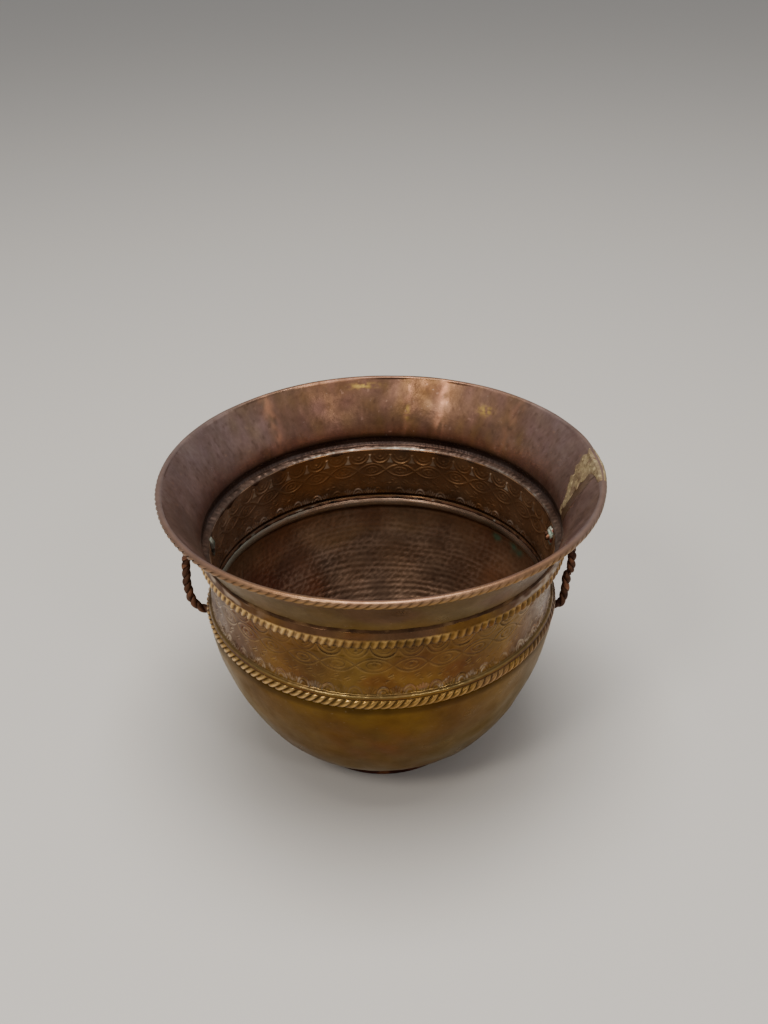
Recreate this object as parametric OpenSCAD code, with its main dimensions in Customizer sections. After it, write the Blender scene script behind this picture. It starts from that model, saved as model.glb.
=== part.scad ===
// Sheet-metal planter pot: flared collar, embossed band, hammered bowl, foot ring and two rope handles.
// Millimetres, +Z up, origin on the floor under the pot's axis. The handles stand at -X and +X.

/* [Collar] */
// Outside radius of the rolled rim
rim_radius = 167.2; // [160:0.1:175]
// Radius of the rolled rim's round section
rim_roll_radius = 2.9; // [2.6:0.1:3.4]
// Height of the rolled rim's centre line
rim_height = 238.6; // [228:0.1:246]
// Inside radius of the collar's neck
neck_radius = 135.8; // [135.4:0.1:136.2]
// Height where the collar starts to flare
neck_height = 198; // [197:0.5:199]
// Depth of the straight hem that stands inside the band
hem_depth = 3.5; // [3:0.5:5]
// How late the collar flares out: 1 is a plain cone
flare_power = 1.35; // [1.1:0.05:1.8]
// Radius of the wire inside the rolled rim
rim_wire_radius = 1.85; // [1.4:0.05:2]

/* [Collar seam] */
// Half width of the braze run over the collar's seam, in degrees
braze_half_angle = 2.6; // [1:0.1:5]
// Thickness of the braze run
braze_thickness = 0.35; // [0.2:0.05:0.6]

/* [Band] */
// Outside radius of the band at mid height
band_radius = 131.4; // [131:0.1:132]
// Height of the upper bead's crest
upper_bead_height = 188.4; // [187.9:0.1:189.4]
// Radius of the upper bead's crest
upper_bead_radius = 139.8; // [139.4:0.1:140.6]
// Height of the band's lower edge, where it sits on the bowl's roll
seat_height = 137.8; // [137.6:0.1:138]

/* [Bowl] */
// Thickness of the sheet
sheet = 1; // [0.8:0.1:1.2]
// Outside radius of the bowl under its roll
bowl_radius = 134.5; // [134:0.1:135]
// Height where the bowl's curve ends under its roll
bowl_top = 126.3; // [125.5:0.1:127]
// Radius of the bowl's flat bottom
bottom_radius = 66.3; // [64:0.1:68]
// Height of the underside of the bowl's flat bottom
bottom_height = 15; // [12:0.5:18]
// How square the bowl's section is in height
bowl_height_power = 1.5; // [1.3:0.05:1.7]
// How square the bowl's section is in radius
bowl_radius_power = 0.97; // [0.9:0.01:1.1]
// Radius of the hollow roll around the bowl's mouth
roll_radius = 4.4; // [4.3:0.1:4.6]
// Radius of the roll's centre line about the axis
roll_centre_radius = 132; // [131.8:0.1:132.2]
// Height of the roll's centre line
roll_centre_height = 134.2; // [134:0.1:134.4]

/* [Foot] */
// Outside radius of the foot where it stands on the floor
foot_radius = 69.2; // [68:0.1:72]
// Thickness of the foot's wall
foot_wall = 1.4; // [1:0.1:2]
// Width of the flat edge that the foot stands on
foot_edge = 3.4; // [3:0.1:4]

/* [Handles] */
// Radius of one strand of the twisted wire
strand_radius = 1.48; // [1.3:0.01:1.49]
// Distance of a strand's centre from the middle of the rope
strand_offset = 1.5; // [1.5:0.01:1.52]
// Length of rope in which a strand turns once
twist_pitch = 14; // [12:0.5:18]
// Height of the upper handle holes
upper_hole_height = 178; // [177:0.5:178.5]
// Height of the left handle's lower hole
left_hole_height = 117; // [116:0.5:119]
// Height of the right handle's lower hole
right_hole_height = 113.5; // [112:0.5:115]
// Radius of the handle holes in the wall
hole_radius = 3.05; // [3:0.01:3.1]
// Radius of the solder blobs over the handles' ends
blob_radius = 5; // [4:0.1:5.5]

/* [Hidden] */
$fn = 96;

copper = [0.62, 0.38, 0.26];
brass = [0.66, 0.50, 0.24];
dark_copper = [0.36, 0.19, 0.12];
dark_wire = [0.30, 0.19, 0.13];
solder = [0.60, 0.62, 0.58];
yellow_braze = [0.72, 0.62, 0.34];

// Collar: heights and radii of its inner face, from the neck up to the middle of the roll.
rim_centre = rim_radius - rim_roll_radius;
collar_steps = 14;
collar_end_inset = 2.3;
collar_flare = rim_centre - collar_end_inset - neck_radius;
collar_wall = 1.1;
function collar_inner(t) = [
    neck_radius + collar_flare * pow(t, flare_power),
    neck_height + (rim_height - neck_height) * t
];
function collar_face(out) = [for (i = [0:collar_steps]) collar_inner(i / collar_steps) + [out, 0]];
function reversed(list) = [for (i = [len(list) - 1:-1:0]) list[i]];
function between(a, b, t) = a + (b - a) * t;

// Braze: it runs from just above the neck to just under the roll.
braze_first = 1;
braze_last = 12;

// Band: its two faces from the top edge down.
band_inner_radius = band_radius - sheet;
neck_outer = neck_radius + collar_wall;
band_lip = neck_outer + sheet;
flange_radius = 134.3;
flange_height = 3;
band_outer_face = [
    [band_lip, neck_height],
    [upper_bead_radius - 0.4, upper_bead_height + 4.4],
    [upper_bead_radius, upper_bead_height],
    [upper_bead_radius - 0.9, upper_bead_height - 2.8],
    [upper_bead_radius - 3.4, upper_bead_height - 4.9],
    [band_radius + 1.8, upper_bead_height - 5.6],
    [band_radius + 0.6, upper_bead_height - 6.4],
    [band_radius + 0.2, 174],
    [band_radius, 160],
    [band_radius + 0.2, 148],
    [band_radius + 0.8, seat_height + flange_height + 1.2],
    [flange_radius - 0.4, seat_height + flange_height],
    [flange_radius, seat_height + flange_height - 1.2],
    [flange_radius, seat_height]
];
band_inner_face = [
    [band_inner_radius + 0.1, seat_height],
    [band_inner_radius + 0.1, 146],
    [band_inner_radius, 160],
    [band_inner_radius + 0.2, 174],
    [band_inner_radius + 0.5, upper_bead_height - 6.8],
    [band_inner_radius + 2, upper_bead_height - 4.9],
    [upper_bead_radius - 4, upper_bead_height - 3.9],
    [upper_bead_radius - 1.9, upper_bead_height - 2.2],
    [upper_bead_radius - 1, upper_bead_height + 0.2],
    [upper_bead_radius - 1.4, upper_bead_height + 4.2],
    [neck_outer, neck_height - 2.4],
    [neck_outer, neck_height]
];

// Bowl: one curve drawn twice, a sheet apart.
bowl_steps = 24;
bowl_swell = bowl_radius - bottom_radius;
function bowl_point(a, inset) = [
    bottom_radius - inset * 0.4 + (bowl_swell - inset * 0.6) * pow(cos(a), bowl_radius_power),
    bowl_top - (bowl_top - bottom_height - inset) * pow(sin(a), bowl_height_power)
];
function bowl_face(inset) = [for (i = [0:bowl_steps]) bowl_point(90 * i / bowl_steps, inset)];
roll_entry = 3.5;
roll_gap_angle = -40;
roll_gap = 0.7;

// Foot: the height of the fold at its standing edge.
foot_fold = 1.8;
foot_waist_height = 8;
foot_solder_leg = 2.4;

// Handles: [distance from the axis, height] along each rope, from its upper hole to its lower one.
rope_end = 128.6;
rope_shoulder = [[rope_end, upper_hole_height], [137, upper_hole_height], [144.6, upper_hole_height - 3]];
left_route = concat(rope_shoulder, [
    [149.6, 166], [151.3, 152], [151.5, 138], [149.3, 127], [144.5, 119.8], [138, left_hole_height],
    [rope_end, left_hole_height]
]);
right_route = concat(rope_shoulder, [
    [148.2, 165], [148.4, 150], [146.4, 136], [145.6, 125], [144.4, 117], [139.5, right_hole_height],
    [rope_end, right_hole_height]
]);
route_steps = 15;
strand_sides = 8;
blob_centre = 130.2;

module ring(profile) {
    rotate_extrude() polygon(profile);
}

module round_ring(centre_radius, height, radius) {
    rotate_extrude() translate([centre_radius, height]) circle(r = radius);
}

// A bore through the wall along X, on the side where the handle stands.
module wall_hole(side, height, from = 120, to = 145) {
    translate([side > 0 ? from : -to, 0, height]) rotate([0, 90, 0])
        cylinder(r = hole_radius, h = to - from, $fn = 240);
}

module collar() {
    hem_foot = neck_height - hem_depth;
    color(copper) difference() {
        union() {
            ring(concat(
                [[neck_radius, hem_foot]],
                collar_face(0),
                reversed(collar_face(collar_wall)),
                [[neck_outer, hem_foot]]
            ));
            round_ring(rim_centre, rim_height, rim_roll_radius);
        }
        round_ring(rim_centre, rim_height, rim_wire_radius);
    }
}

module rim_wire() {
    color(dark_wire) round_ring(rim_centre, rim_height, rim_wire_radius);
}

module collar_seam_braze() {
    faces = collar_face(0);
    inner = [for (i = [braze_first:braze_last]) faces[i] - [braze_thickness, 0]];
    outer = [for (i = [braze_first:braze_last]) faces[i]];
    color(yellow_braze) rotate([0, 0, -braze_half_angle])
        rotate_extrude(angle = 2 * braze_half_angle) polygon(concat(inner, reversed(outer)));
}

module collar_solder() {
    face = collar_face(collar_wall);
    color(dark_copper) ring([[band_lip - 0.1, neck_height], face[0], between(face[0], face[1], 0.5)]);
}

module band() {
    color(brass) difference() {
        ring(concat(band_outer_face, band_inner_face));
        for (side = [-1, 1]) wall_hole(side, upper_hole_height);
    }
}

module band_solder() {
    wall = band_inner_radius + 0.1;
    color(solder) ring([[wall - 0.9, seat_height], [wall, seat_height], [wall, seat_height + 1.4]]);
}

module above(height) {
    translate([0, 0, height]) cylinder(r = 2 * roll_centre_radius, h = 4 * roll_radius);
}

// The roll's free edge stops just short of the bowl, which leaves a narrow gap under the roll.
module roll_slot() {
    rotate_extrude() translate([roll_centre_radius, roll_centre_height]) rotate(roll_gap_angle)
        translate([roll_radius - 2 * sheet, -roll_gap / 2]) square([3 * sheet, roll_gap]);
}

module bowl() {
    // The wall goes on straight up from the curve into the roll.
    wall_end = [bowl_radius - 0.3, roll_centre_height - roll_entry];
    outer = concat([wall_end], bowl_face(0), [[0, bottom_height]]);
    inner = concat([[0, bottom_height + sheet]], reversed(bowl_face(sheet)), [wall_end - [sheet, 0]]);
    color(brass) difference() {
        union() {
            ring(concat(outer, inner));
            round_ring(roll_centre_radius, roll_centre_height, roll_radius);
        }
        difference() {
            round_ring(roll_centre_radius, roll_centre_height, roll_radius - sheet);
            above(seat_height - sheet);
        }
        above(seat_height);
        roll_slot();
        wall_hole(-1, left_hole_height);
        wall_hole(1, right_hole_height);
    }
}

module foot_ring() {
    top = bottom_radius;
    color(dark_copper) ring([
        [foot_radius - foot_edge, 0],
        [foot_radius, 0],
        [foot_radius, foot_fold],
        [top + 0.4, foot_waist_height],
        [top, bottom_height],
        [top - foot_wall, bottom_height],
        [top + 0.4 - foot_wall, foot_waist_height],
        [foot_radius - foot_edge, foot_fold]
    ]);
}

module foot_solder() {
    corner = [bottom_radius - foot_wall, bottom_height];
    waist = [bottom_radius + 0.4 - foot_wall, foot_waist_height];
    color(solder) ring([corner - [foot_solder_leg, 0], corner, between(corner, waist, 0.35)]);
}

// Smooth curve through a route's points: stretch i, at u from 0 to 1.
function stretch(p, i, u) =
    let (
        n = len(p) - 1,
        a = i == 0 ? 2 * p[0] - p[1] : p[i - 1],
        b = p[i],
        c = p[i + 1],
        d = i + 1 == n ? 2 * p[n] - p[n - 1] : p[i + 2]
    )
    0.5 * (2 * b + (c - a) * u + (2 * a - 5 * b + 4 * c - d) * u * u + (3 * b - 3 * c + d - a) * u * u * u);
function smooth(p) = concat(
    [for (i = [0:len(p) - 2]) for (k = [0:route_steps - 1]) stretch(p, i, k / route_steps)],
    [p[len(p) - 1]]
);
// Distance along a line of points, at each point.
function lengths(q) = [
    for (i = 0, s = 0; i < len(q); i = i + 1, s = s + (i < len(q) ? norm(q[i] - q[i - 1]) : 0)) s
];

// One strand of the handle at +X: a round section carried along the rope's middle line, turning about it.
module strand(route, phase) {
    mid = smooth(route);
    run = lengths(mid);
    n = len(mid);
    along = [for (i = [0:n - 1]) let (d = mid[min(i + 1, n - 1)] - mid[max(i - 1, 0)]) d / norm(d)];
    // The rope's own axes at ring i: across it in the handle's plane, and along Y.
    function spot(i, across, sideways) = [
        mid[i][0] - along[i][1] * across,
        sideways,
        mid[i][1] + along[i][0] * across
    ];
    turn = [for (s = run) 360 * s / twist_pitch + phase];
    // A strand lies at a slope to the rope, so its section is wider around the rope than it is thick.
    stretch_around = 1 / cos(atan(2 * PI * strand_offset / twist_pitch));
    points = [for (i = [0:n - 1]) for (k = [0:strand_sides - 1])
        let (
            w = 360 * k / strand_sides,
            out = strand_offset + strand_radius * cos(w),
            beside = strand_radius * stretch_around * sin(w),
            c = cos(turn[i]),
            s = sin(turn[i])
        )
        spot(i, out * c - beside * s, out * s + beside * c)
    ];
    first = [for (k = [0:strand_sides - 1]) k];
    last = [for (k = [strand_sides - 1:-1:0]) (n - 1) * strand_sides + k];
    sides = [for (i = [0:n - 2]) for (k = [0:strand_sides - 1]) for (half = [0, 1])
        let (
            a = i * strand_sides + k,
            b = i * strand_sides + (k + 1) % strand_sides
        )
        half == 0 ? [a, b + strand_sides, b] : [a, a + strand_sides, b + strand_sides]
    ];
    color(dark_wire) polyhedron(points, concat([first, last], sides));
}

module left_handle_strand_a() {
    mirror([1, 0, 0]) strand(left_route, 0);
}

module left_handle_strand_b() {
    mirror([1, 0, 0]) strand(left_route, 180);
}

module right_handle_strand_a() {
    strand(right_route, 90);
}

module right_handle_strand_b() {
    strand(right_route, 270);
}

// The space inside the band and the bowl, which the solder blobs fill against.
module band_inside() {
    ring(concat([[0, 146], [0, 186]], reversed([for (i = [1:4]) band_inner_face[i]])));
}

module bowl_inside() {
    ring(concat([[0, bowl_top], [0, bottom_height + sheet]], reversed(bowl_face(sheet))));
}

// One solder blob at +X, with the bore that the rope's end fills.
module blob(height) {
    difference() {
        translate([blob_centre, 0, height]) sphere(r = blob_radius, $fn = 240);
        wall_hole(1, height, from = rope_end - 0.1);
    }
}

module handle_solder(lower_height) {
    color(solder) {
        intersection() {
            blob(upper_hole_height);
            band_inside();
        }
        intersection() {
            blob(lower_height);
            bowl_inside();
        }
    }
}

module left_handle_solder() {
    mirror([1, 0, 0]) handle_solder(left_hole_height);
}

module right_handle_solder() {
    handle_solder(right_hole_height);
}

collar();
rim_wire();
collar_seam_braze();
collar_solder();
band();
band_solder();
bowl();
foot_ring();
foot_solder();
left_handle_strand_a();
left_handle_strand_b();
left_handle_solder();
right_handle_strand_a();
right_handle_strand_b();
right_handle_solder();
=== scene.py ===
"""Looks of the planter pot: detailed sheet-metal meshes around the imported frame, worn metal, floor, light
and camera."""

import math

import bpy
import numpy as np
from mathutils import Matrix, Vector


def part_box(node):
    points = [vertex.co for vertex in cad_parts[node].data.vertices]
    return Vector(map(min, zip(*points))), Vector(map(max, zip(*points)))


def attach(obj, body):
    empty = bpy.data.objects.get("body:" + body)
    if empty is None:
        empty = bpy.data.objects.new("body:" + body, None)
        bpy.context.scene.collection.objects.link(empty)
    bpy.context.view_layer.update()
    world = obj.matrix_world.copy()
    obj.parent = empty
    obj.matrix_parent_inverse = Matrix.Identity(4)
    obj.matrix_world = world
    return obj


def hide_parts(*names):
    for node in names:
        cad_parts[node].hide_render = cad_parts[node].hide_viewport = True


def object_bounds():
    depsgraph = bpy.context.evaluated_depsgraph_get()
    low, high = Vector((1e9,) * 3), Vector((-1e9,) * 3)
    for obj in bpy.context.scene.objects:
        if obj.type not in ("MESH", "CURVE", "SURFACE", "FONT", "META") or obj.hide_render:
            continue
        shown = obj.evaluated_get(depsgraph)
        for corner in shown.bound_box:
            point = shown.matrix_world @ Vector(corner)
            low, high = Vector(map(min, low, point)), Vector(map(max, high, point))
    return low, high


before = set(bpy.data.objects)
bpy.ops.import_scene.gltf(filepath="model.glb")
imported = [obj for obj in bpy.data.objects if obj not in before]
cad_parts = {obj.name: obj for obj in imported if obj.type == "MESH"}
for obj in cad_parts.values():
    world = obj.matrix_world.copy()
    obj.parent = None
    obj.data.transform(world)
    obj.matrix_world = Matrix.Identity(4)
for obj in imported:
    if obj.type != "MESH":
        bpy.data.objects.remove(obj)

cad_low, cad_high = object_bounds()

MM = 0.001
TAU = 2 * math.pi


# ---- camera

CAMERA_BACK = 0.709
CAMERA_UP = 0.6427
CAMERA_SIDE = 0.0041
CAMERA_PITCH = math.radians(31.78)
CAMERA_ROLL = math.radians(-1.53)
CAMERA_LENS = 38.85


def add_camera():
    """A camera in front of the pot, looking down at it, with a slight roll."""
    data = bpy.data.cameras.new("camera")
    data.lens = CAMERA_LENS
    data.sensor_width = 36
    data.clip_end = 100
    ahead = Vector((0, math.cos(CAMERA_PITCH), -math.sin(CAMERA_PITCH)))
    above = Vector((0, math.sin(CAMERA_PITCH), math.cos(CAMERA_PITCH)))
    aside = Vector((1, 0, 0))
    right = aside * math.cos(CAMERA_ROLL) + above * math.sin(CAMERA_ROLL)
    up = above * math.cos(CAMERA_ROLL) - aside * math.sin(CAMERA_ROLL)
    turn = Matrix((right, up, -ahead)).transposed().to_4x4()
    camera = bpy.data.objects.new("camera", data)
    camera.matrix_world = Matrix.Translation((CAMERA_SIDE, -CAMERA_BACK, CAMERA_UP)) @ turn
    bpy.context.scene.collection.objects.link(camera)
    bpy.context.scene.camera = camera


# ---- numbers and noise

def tone(red, green, blue):
    """A display colour, 0 to 255, as linear light."""
    c = np.array([red, green, blue]) / 255
    return np.where(c <= 0.04045, c / 12.92, ((c + 0.055) / 1.055) ** 2.4)


def ease(x, low, high):
    """0 below low, 1 above high, smooth between."""
    t = np.clip((x - low) / (high - low), 0, 1)
    return t * t * (3 - 2 * t)


def bell(x, centre, width):
    """1 at the centre, falling away smoothly over about the width on each side."""
    return np.exp(-(((x - centre) / width) ** 2))


def mix(a, b, weight):
    """Colour a where the weight is 0, colour b where it is 1."""
    return a + (b - a) * np.asarray(weight)[..., None]


def coats(tint, *layers):
    """Lays further colours over one, in turn, each as far as its weight says."""
    for colour, weight in layers:
        tint = mix(tint, colour, weight)
    return tint


def field(points, size, seed, waves=36):
    """Smooth random values, about -1 to 1, whose blobs are about size millimetres across."""
    rng = np.random.default_rng(seed)
    heading = rng.normal(size=(waves, 3))
    heading /= np.linalg.norm(heading, axis=1)[:, None]
    pace = TAU / size * rng.uniform(0.35, 1.0, waves)
    phase = rng.uniform(0, TAU, waves)
    total = np.zeros(points.shape[:-1])
    for h, p, f in zip(heading, pace, phase):
        total += np.cos(points @ (h * p) + f)
    return total * math.sqrt(2 / waves) * 0.7


def patchy(points, size, seed, middle, spread, low=0, high=1):
    """The middle value made uneven by a field, and kept between low and high."""
    return np.clip(middle + spread * field(points, size, seed), low, high)


def spots(points, size, seed, low, high):
    """0 where a field is below low, 1 where it is above high."""
    return ease(field(points, size, seed), low, high)


def chance(*ids):
    """A repeatable value from 0 to 1 for each set of whole numbers."""
    mixed = sum(np.asarray(i, float) * k for i, k in zip(ids, (12.9898, 78.233, 37.719)))
    return np.modf(np.abs(np.sin(mixed) * 43758.5453))[0]


# ---- outlines, in millimetres

def curve(points, count):
    """count points, evenly spaced, on a smooth curve through the given ones."""
    p = np.array(points, float)
    ends = np.vstack([2 * p[0] - p[1], p, 2 * p[-1] - p[-2]])
    dense = []
    for i in range(len(p) - 1):
        a, b, c, d = ends[i:i + 4]
        u = np.linspace(0, 1, 24, endpoint=False)[:, None]
        dense.append(0.5 * (2 * b + (c - a) * u + (2 * a - 5 * b + 4 * c - d) * u ** 2
                            + (3 * b - 3 * c + d - a) * u ** 3))
    return evenly(np.vstack(dense + [p[-1:]]), count)


def evenly(line, count):
    """The same line with count points at even spacing."""
    run = np.concatenate([[0], np.cumsum(np.linalg.norm(np.diff(line, axis=0), axis=1))])
    at = np.linspace(0, run[-1], count)
    return np.stack([np.interp(at, run, line[:, k]) for k in range(line.shape[1])], 1)


def arc(centre, radius, start, end, count):
    """Points on a round arc, from one angle to another in degrees."""
    a = np.radians(np.linspace(start, end, count))
    return np.stack([centre[0] + radius * np.cos(a), centre[1] + radius * np.sin(a)], 1)


def outline(*parts):
    """Joins stretches of outline, and numbers each point by its stretch, from 0."""
    which = np.concatenate([np.full(len(part), i) for i, part in enumerate(parts)])
    return np.vstack(parts), which


# ---- turned sheets

def spun(r, angle, z):
    """Points at radius r and height z, at each angle around the pot."""
    return np.stack([r * np.cos(angle), r * np.sin(angle), z], -1)


def grid_faces(rows, columns, closed=False):
    """Quads over a grid of points whose columns go all the way round, and whose rows do too when closed."""
    i = np.arange(rows if closed else rows - 1)[:, None]
    j = np.arange(columns)
    here, there = i * columns, (i + 1) % rows * columns
    beside = (j + 1) % columns
    return np.stack([here + j, here + beside, there + beside, there + j], -1).reshape(-1, 4)


def end_caps(rows, columns):
    """The two faces that close the first and the last row of such a grid."""
    return [list(range(columns - 1, -1, -1)), list(range((rows - 1) * columns, rows * columns))]


class Turned:
    """A grid of points: one row for each point of an outline, one column for each angle around the pot."""

    def __init__(self, profile, columns, closed=True):
        self.profile = np.array(profile, float)
        self.closed = closed
        self.angle = np.linspace(0, TAU, columns, endpoint=False)[None, :]
        ahead = np.roll(self.profile, -1, 0)
        behind = np.roll(self.profile, 1, 0)
        if not closed:
            ahead[-1] = self.profile[-1]
            behind[0] = self.profile[0]
        along = ahead - behind
        along /= np.linalg.norm(along, axis=1)[:, None] + 1e-9
        r, z = self.profile.T
        area = (r * np.roll(z, -1) - np.roll(r, -1) * z).sum()
        self.normal = np.stack([along[:, 1], -along[:, 0]], 1) * np.sign(area)
        step = np.linalg.norm(np.diff(self.profile, axis=0), axis=1)
        self.run = np.concatenate([[0], np.cumsum(step)])[:, None]
        self.radius = self.profile[:, :1] + 0 * self.angle
        self.height = self.profile[:, 1:] + 0 * self.angle
        self.shift = np.zeros_like(self.radius)

    def points(self):
        """The sheet with its shift along the outline's normal."""
        r = self.radius + self.shift * self.normal[:, :1]
        z = self.height + self.shift * self.normal[:, 1:]
        return spun(r, self.angle, z)

    def plain(self):
        """The sheet without that shift."""
        return spun(self.radius, self.angle, self.height)


def signed_volume(points, faces):
    """Below 0 when the faces of a closed mesh are wound inside out."""
    a, b, c, d = (points[faces[:, k]] for k in range(4))
    return (np.einsum("ij,ij->i", a, np.cross(b, c)) + np.einsum("ij,ij->i", a, np.cross(c, d))).sum()


def make_mesh(name, points, faces, tint, extra_faces=(), fine=None):
    """A smooth-shaded mesh object in metres, with colour and extra roughness stored at its vertices."""
    if signed_volume(points, faces) < 0:
        faces = faces[:, ::-1]
        extra_faces = [f[::-1] for f in extra_faces]
    mesh = bpy.data.meshes.new(name)
    mesh.from_pydata((points * MM).tolist(), [], faces.tolist() + [list(f) for f in extra_faces])
    mesh.polygons.foreach_set("use_smooth", np.ones(len(mesh.polygons), bool))
    colour = mesh.color_attributes.new("tint", "FLOAT_COLOR", "POINT")
    packed = np.ones((len(points), 4))
    packed[:, :3] = np.clip(tint, 0, 1)
    colour.data.foreach_set("color", packed.ravel())
    grime = mesh.attributes.new("grime", "FLOAT", "POINT")
    fine = np.zeros(len(points)) if fine is None else np.clip(fine, 0, 1)
    grime.data.foreach_set("value", fine.ravel())
    mesh.update()
    made = bpy.data.objects.new(name, mesh)
    bpy.context.scene.collection.objects.link(made)
    return made


def turned_mesh(name, sheet, tint, fine, poles=False):
    """The mesh of a turned sheet. With poles, its first and last rows close on the axis."""
    grid = sheet.points()
    rows, columns = grid.shape[:2]
    points = grid.reshape(-1, 3)
    faces = grid_faces(rows, columns, sheet.closed)
    colours = tint.reshape(-1, 3)
    fine = (fine + 0 * sheet.radius).reshape(-1)
    extra = []
    if poles:
        tips = np.array([[0, 0, grid[0, :, 2].mean()], [0, 0, grid[-1, :, 2].mean()]])
        first, last = len(points), len(points) + 1
        base = (rows - 1) * columns
        for j in range(columns):
            k = (j + 1) % columns
            extra.append([k, j, first])
            extra.append([base + j, base + k, last])
        points = np.vstack([points, tips])
        colours = np.vstack([colours, colours[:1], colours[-1:]])
        fine = np.concatenate([fine, fine[:1], fine[-1:]])
    return make_mesh(name, settle(points), faces, colours, extra, fine)


def rope_turn(angle, run, count, radius, lean, skew):
    """The turn around each lobe of a roped edge: 0 in its notch, pi on its crest, and steeper on one side."""
    phase = count * (angle - run / radius * lean)
    return phase + skew * np.sin(phase)


def rope_notches(turn, narrow):
    """1 at the bottom of each slanting notch of a roped edge, 0 on the ridges."""
    return bell(np.sin(turn / 2), 0, narrow)


def rope_pockets(turn, ridge):
    """1 across each wide pocket of a roped edge, 0 on the thin ridges between them."""
    return 1 - bell(np.cos(turn / 2), 0, ridge)


# ---- metal

def metal(name, rough, grain, bump, speck=(0.55, 0.55, 0.5), speck_amount=0.0, metallic=0.7, colour=None,
          edge=(1, 1, 1)):
    """Worn metal: colour from the mesh unless one is given, and stains, roughness and dents from noise."""
    material = bpy.data.materials.new(name)
    material.use_nodes = True
    nodes, links = material.node_tree.nodes, material.node_tree.links
    nodes.clear()
    out = nodes.new("ShaderNodeOutputMaterial")
    shader = nodes.new("ShaderNodeBsdfPrincipled")
    shader.inputs["Metallic"].default_value = metallic
    shader.inputs["Specular IOR Level"].default_value = 0.2
    shader.inputs["Specular Tint"].default_value = (*edge, 1)
    links.new(shader.outputs[0], out.inputs[0])
    place = nodes.new("ShaderNodeTexCoord").outputs["Object"]

    def noise(scale, detail, roughness=0.55, distortion=0.0):
        n = nodes.new("ShaderNodeTexNoise")
        n.inputs["Scale"].default_value = scale
        n.inputs["Detail"].default_value = detail
        n.inputs["Roughness"].default_value = roughness
        n.inputs["Distortion"].default_value = distortion
        links.new(place, n.inputs["Vector"])
        return n.outputs["Fac"]

    def ranged(value, low, high, to_low, to_high):
        m = nodes.new("ShaderNodeMapRange")
        limits = {"From Min": low, "From Max": high, "To Min": to_low, "To Max": to_high}
        for socket, number in limits.items():
            m.inputs[socket].default_value = number
        links.new(value, m.inputs["Value"])
        return m.outputs["Result"]

    def blend(kind, factor, a, b):
        m = nodes.new("ShaderNodeMix")
        m.data_type = "RGBA"
        m.blend_type = kind
        for socket, value in ((m.inputs[0], factor), (m.inputs[6], a), (m.inputs[7], b)):
            if hasattr(value, "is_output"):
                links.new(value, socket)
            else:
                socket.default_value = value
        return m.outputs[2]

    def sum_of(a, b):
        m = nodes.new("ShaderNodeMath")
        m.operation = "ADD"
        links.new(a, m.inputs[0])
        links.new(b, m.inputs[1])
        return m.outputs[0]

    if colour is None:
        attribute = nodes.new("ShaderNodeAttribute")
        attribute.attribute_name = "tint"
        tint = attribute.outputs["Color"]
    else:
        tint = (*colour, 1)
    grime = nodes.new("ShaderNodeAttribute")
    grime.attribute_name = "grime"
    cloudy = ranged(noise(grain * 0.16, 5, 0.6, 0.4), 0.32, 0.68, 0.0, 1.0)
    stained = blend("MULTIPLY", ranged(noise(grain, 6, 0.65), 0.35, 0.7, 0.0, 0.75),
                    tint, (0.60, 0.56, 0.54, 1))
    warm = blend("MULTIPLY", cloudy, stained, (1.0, 0.90, 0.80, 1))
    specks = ranged(noise(grain * 5, 3, 0.6), 0.66, 0.74, 0.0, speck_amount)
    links.new(blend("MIX", specks, warm, (*speck, 1)), shader.inputs["Base Color"])
    wear_and_glare = ranged(noise(grain * 0.5, 4, 0.6), 0.3, 0.7, rough - 0.09, rough + 0.11)
    links.new(sum_of(wear_and_glare, ranged(grime.outputs["Fac"], 0, 1, 0.0, 0.22)), shader.inputs["Roughness"])
    fine_dents = nodes.new("ShaderNodeBump")
    fine_dents.inputs["Strength"].default_value = bump
    fine_dents.inputs["Distance"].default_value = 0.0006
    depth = sum_of(ranged(noise(grain * 0.6, 3), 0, 1, 0, 1.6), noise(grain * 4, 4))
    links.new(depth, fine_dents.inputs["Height"])
    links.new(fine_dents.outputs[0], shader.inputs["Normal"])
    return material


def dress(piece, material, slot, *nodes):
    """Gives a finished piece its material and its place in the frame."""
    piece.data.materials.append(material)
    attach(piece, "root")
    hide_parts(*nodes)


# Colours, as they look in a soft even light.
COPPER_IN = tone(166, 126, 108)
COPPER_TOP = tone(176, 140, 120)
COPPER_RED = tone(142, 94, 78)
OLIVE = tone(136, 116, 66)
GOLD = tone(150, 116, 60)
GOLD_HIGHLIGHT = tone(226, 184, 112)
BROWN = tone(96, 66, 42)
DARK = tone(40, 26, 18)
MAUVE = tone(122, 98, 92)
RED_PATCH = tone(120, 62, 34)
# How much the patina outside darkens red, green and blue.
PATINA = np.array([0.66, 0.62, 0.5])
BRAZE = tone(176, 160, 124)
TIN = tone(186, 190, 178)


# ---- hand-made unevenness

RIM_SHIFT = 2.0
LOW_RING, TOP_RING, RIM_LEVEL = 134.0, 188.0, 236.0
SAG_FROM, SHIFT_FROM = 70, 145


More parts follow.
